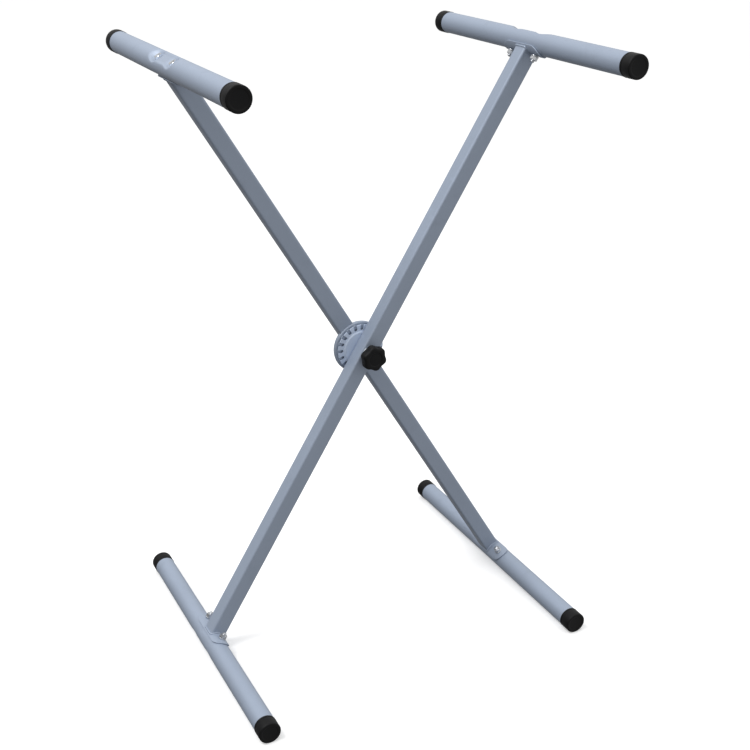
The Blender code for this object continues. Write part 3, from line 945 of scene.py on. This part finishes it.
def notch_outline():
    """A slot along X, from its round inner end to past the front disc's rim."""
    half, outer = TOOTH_WIDTH / 2 + GAP, FRONT_RADIUS + PAST_EDGE
    turns = [math.radians(90 + 15 * k) for k in range(13)]
    inner = [(TOOTH_INNER - GAP + half * math.cos(a), half * math.sin(a)) for a in turns]
    return [(outer, -half), (outer, half)] + inner


def each_tooth():
    """Each tooth's and notch's turn about local Z."""
    return [Matrix.Rotation(-TOOTH_PHASE - math.tau * k / TOOTH_COUNT, 4, "Z") for k in range(TOOTH_COUNT)]


def notch_skin():
    """Cutters for all the notches of the front disc."""
    skin = Skin()
    levels = (FLANGE_FACE - PAST_EDGE, FLANGE_FACE + 2 * PAST_EDGE)
    for turn in each_tooth():
        rings = [[turn @ Vector((x, y, z)) for x, y in notch_outline()] for z in levels]
        skin.loft(rings, True, True)
    bmesh.ops.recalc_face_normals(skin.mesh, faces=skin.mesh.faces)
    return skin


def teeth_skin():
    """Teeth that stand forward from the rear disc, with softened tips."""
    half, outer, soft = TOOTH_WIDTH / 2, FRONT_RADIUS - GAP, 0.0003
    skin = Skin()
    for turn in each_tooth():
        rings = []
        for inset, z in ((0.0, WEB_FACE + DISC_SHEET / 2), (0.0, TOOTH_TIP + soft), (soft, TOOTH_TIP)):
            a, b, h = TOOTH_INNER + inset, outer - inset, half - inset
            rings.append([turn @ Vector((x, y, z)) for x, y in ((a, -h), (b, -h), (b, h), (a, h))])
        skin.loft(rings, True, True)
    return skin


def carve(item, cutter, matrix):
    """Cuts the cutter's bodies out of a piece for good."""
    mesh = bpy.data.meshes.new("cutter")
    cutter.mesh.transform(matrix)
    cutter.mesh.to_mesh(mesh)
    cutter.mesh.free()
    tool = bpy.data.objects.new("cutter", mesh)
    bpy.context.scene.collection.objects.link(tool)
    step = item.modifiers.new("cut", "BOOLEAN")
    step.operation = "DIFFERENCE"
    step.solver = "EXACT"
    step.object = tool
    shape = item.evaluated_get(bpy.context.evaluated_depsgraph_get())
    item.data = bpy.data.meshes.new_from_object(shape)
    item.modifiers.clear()
    bpy.data.objects.remove(tool)
    item.data.set_sharp_from_angle(angle=math.radians(40))


def soften(item, width, angle=50):
    """Rounds the edges that turn by more than the angle."""
    edge = item.modifiers.new("soft_edges", "BEVEL")
    edge.width = width
    edge.segments = 2
    edge.limit_method = "ANGLE"
    edge.angle_limit = math.radians(angle)
    edge.use_clamp_overlap = True


class STAND_OT_clutch(bpy.types.Operator):
    """Adds the clutch's notched front disc and its rear disc with teeth and a bent rim"""

    bl_idname = "stand.clutch"
    bl_label = "Clutch Discs"

    def execute(self, context):
        place = pivot_matrix()
        # The front disc wears the coat brightened as painted light.
        front = add_piece(
            front_disc_skin(), "front_clutch_disc_plate", place, "disc_paint", "front_frame",
            ["front_clutch_disc"],
        )
        carve(front, notch_skin(), place)
        soften(front, SHEARED_EDGE)
        rear = add_piece(
            rear_disc_skin(), "rear_clutch_disc_plate", place, "silver_paint", "rear_frame",
            ["rear_clutch_disc"],
        )
        carve(rear, self.leg_slot(), pivot_matrix(-HALF_OPENING))
        soften(rear, SHEARED_EDGE)
        add_piece(teeth_skin(), "rear_clutch_disc_teeth", place, "silver_paint", "rear_frame")
        return {"FINISHED"}

    def leg_slot(self):
        """A cutter for the slot where the rear disc's rim lets the leg through."""
        half, reach = LEG_SIDE / 2 + GAP, REAR_RADIUS + PAST_EDGE
        outline = [(-half, -reach), (half, -reach), (half, reach), (-half, reach)]
        skin = Skin()
        skin.loft([[(x, y, z) for x, y in outline] for z in (SLOT_FLOOR, RIM_END + PAST_EDGE)], True, True)
        bmesh.ops.recalc_face_normals(skin.mesh, faces=skin.mesh.faces)
        return skin


def pivot_bolt_skin():
    """A domed head on the rear leg's back, and the shank that runs from it into the knob."""
    band = 0.0006
    head = [(PIVOT_HEAD - 0.0004, PIVOT_SEAT)]
    for degrees in range(0, 90, 9):
        a = math.radians(degrees)
        rise = (PIVOT_RISE - band) * math.sin(a)
        head.append((PIVOT_HEAD * math.cos(a), PIVOT_SEAT + band + rise))
    head.append((0.0004, PIVOT_SEAT + PIVOT_RISE))
    skin = Skin()
    skin.turn([(PIVOT_RADIUS, PIVOT_TIP), (PIVOT_RADIUS, PIVOT_SEAT)] + head, 72, True, True)
    return skin


def thrust_washer_skin():
    """A washer with a rounded rim and a broken edge at its bore."""
    low, high = THRUST_FACE, THRUST_FACE + THRUST_SHEET
    bore = [(0.0045, high - 0.0002), (0.0043, low + 0.0002), (0.0046, low)]
    return washer_turn(bore + round_rim(THRUST_RADIUS, low, high, 0.0004, 4), 72)


class STAND_OT_pivot(bpy.types.Operator):
    """Adds the pivot bolt and the thrust washer under the knob"""

    bl_idname = "stand.pivot"
    bl_label = "Pivot Bolt and Washer"

    def execute(self, context):
        place = pivot_matrix()
        add_piece(pivot_bolt_skin(), "pivot_bolt_fine", place, "bright_zinc", "rear_frame", ["pivot_bolt"])
        add_piece(
            thrust_washer_skin(), "thrust_washer_fine", place, "bright_zinc", "release_carriage",
            ["thrust_washer"], sharp=28,
        )
        return {"FINISHED"}


# Solids

class STAND_OT_solids(bpy.types.Operator):
    """Gives the legs and the other solids their finishes"""

    bl_idname = "stand.solids"
    bl_label = "Legs and Inner Pieces"

    def execute(self, context):
        looks = {entry["node"]: entry["material_slot"] for entry in frame["record"]["subparts"]}
        for name, item in frame["nodes"].items():
            item.data.materials.clear()
            item.data.materials.append(finish(looks[name]))
        return {"FINISHED"}


# Stage

LAMP_DISTANCE = 3.9
LAMP_WIDTH = 1.9


def add_floor():
    """A wide sheet of paper that sends no light back to the stand."""
    skin = Skin()
    size = 60.0
    corners = [(-size, -size, 0), (size, -size, 0), (size, size, 0), (-size, size, 0)]
    skin.mesh.faces.new([skin.mesh.verts.new(c) for c in corners])
    mesh = bpy.data.meshes.new("studio_floor")
    skin.mesh.to_mesh(mesh)
    skin.mesh.free()
    mesh.materials.append(finish("studio_floor"))
    floor = bpy.data.objects.new("studio_floor", mesh)
    bpy.context.scene.collection.objects.link(floor)
    floor.visible_diffuse = floor.visible_glossy = floor.visible_shadow = False


def add_key_light(strength):
    """A round soft light, high on the left and near enough to fade towards the feet."""
    lamp = bpy.data.lights.new("key_light", "AREA")
    lamp.shape = "DISK"
    lamp.size = LAMP_WIDTH
    lamp.energy = strength
    item = bpy.data.objects.new("key_light", lamp)
    bpy.context.scene.collection.objects.link(item)
    away = Vector((-0.55, 0.0, 0.83)).normalized()
    item.location = Vector((0, 0, PIVOT_HEIGHT)) + LAMP_DISTANCE * away
    item.rotation_euler = away.to_track_quat("Z", "Y").to_euler()


def add_camera():
    """The photograph's viewpoint, fitted to the stand's outlines."""
    view = bpy.data.cameras.new("photo_camera")
    view.sensor_width = 36.0
    view.lens = 57.549
    view.shift_x = 0.0321
    view.shift_y = -0.0003
    item = bpy.data.objects.new("photo_camera", view)
    bpy.context.scene.collection.objects.link(item)
    item.location = (-0.74125, -1.5028, 1.14389)
    item.rotation_euler = [math.radians(a) for a in (66.2671, 0.1433, -25.8419)]
    bpy.context.scene.camera = item


def set_studio_light(overhead, sides):
    """Bright above, a dimmer wall on the right, dimmer still in front and behind, dark below."""
    world = bpy.context.scene.world or bpy.data.worlds.new("studio")
    bpy.context.scene.world = world
    mix = Recipe(world)
    way = mix.node("ShaderNodeTexCoord", output="Generated")
    x, y, z = [mix.node("ShaderNodeSeparateXYZ", {}, {"Vector": way}, output=axis) for axis in "XYZ"]
    zero = {"operation": "MAXIMUM"}
    above = mix.node("ShaderNodeMath", zero, {0: z, 1: 0.0})
    right = mix.node("ShaderNodeMath", zero, {0: x, 1: 0.0})
    ahead = mix.node("ShaderNodeMath", {"operation": "ABSOLUTE"}, {0: y})
    white, right_gain, everywhere = (1.0, 1.0, 1.0), 1.4, 0.045
    level = above * overhead + (right * right_gain + ahead) * sides + everywhere
    light = mix.node("ShaderNodeBackground", {}, {"Color": white, "Strength": level})
    paper = mix.node("ShaderNodeBackground", {}, {"Color": white, "Strength": 1.0})
    seen = mix.node("ShaderNodeLightPath", output="Is Camera Ray")
    both = mix.node("ShaderNodeMixShader", {}, {"Fac": seen, 1: light, 2: paper})
    mix.feed(mix.tree.nodes["World Output"].inputs["Surface"], both)


class STAND_OT_stage(bpy.types.Operator):
    """Adds the floor, the light and the camera"""

    bl_idname = "stand.stage"
    bl_label = "Stage"

    def execute(self, context):
        look = context.scene.stand_finish
        add_floor()
        add_key_light(look.key_strength)
        set_studio_light(look.overhead_strength, look.side_strength)
        add_camera()
        context.scene.view_settings.view_transform = "Standard"
        return {"FINISHED"}


class STAND_PT_panel(bpy.types.Panel):
    """Lists the stand's sizes, finishes and pieces"""

    bl_idname = "STAND_PT_panel"
    bl_label = "Keyboard Stand"
    bl_space_type = "VIEW_3D"
    bl_region_type = "UI"
    bl_category = "Stand"

    def draw(self, context):
        for group in (context.scene.stand_sizes, context.scene.stand_finish):
            for name in group.__annotations__:
                self.layout.prop(group, name)
        for piece in PIECES:
            self.layout.operator(piece.bl_idname)


PIECES = (
    STAND_OT_solids, STAND_OT_tubes, STAND_OT_caps, STAND_OT_saddles, STAND_OT_welds,
    STAND_OT_bolts, STAND_OT_nuts, STAND_OT_clutch, STAND_OT_pivot, STAND_OT_knob, STAND_OT_stage,
)
CLASSES = (StandSizes, StandFinish, *PIECES, STAND_PT_panel)


def register():
    for item in CLASSES:
        bpy.utils.register_class(item)
    bpy.types.Scene.stand_sizes = PointerProperty(type=StandSizes)
    bpy.types.Scene.stand_finish = PointerProperty(type=StandFinish)


def unregister():
    del bpy.types.Scene.stand_finish
    del bpy.types.Scene.stand_sizes
    for item in reversed(CLASSES):
        bpy.utils.unregister_class(item)


def main():
    register()
    bpy.ops.stand.solids()
    bpy.ops.stand.tubes()
    bpy.ops.stand.caps()
    bpy.ops.stand.saddles()
    bpy.ops.stand.welds()
    bpy.ops.stand.bolts()
    bpy.ops.stand.nuts()
    bpy.ops.stand.clutch()
    bpy.ops.stand.pivot()
    bpy.ops.stand.knob()
    bpy.ops.stand.stage()


if __name__ == "__main__":
    main()
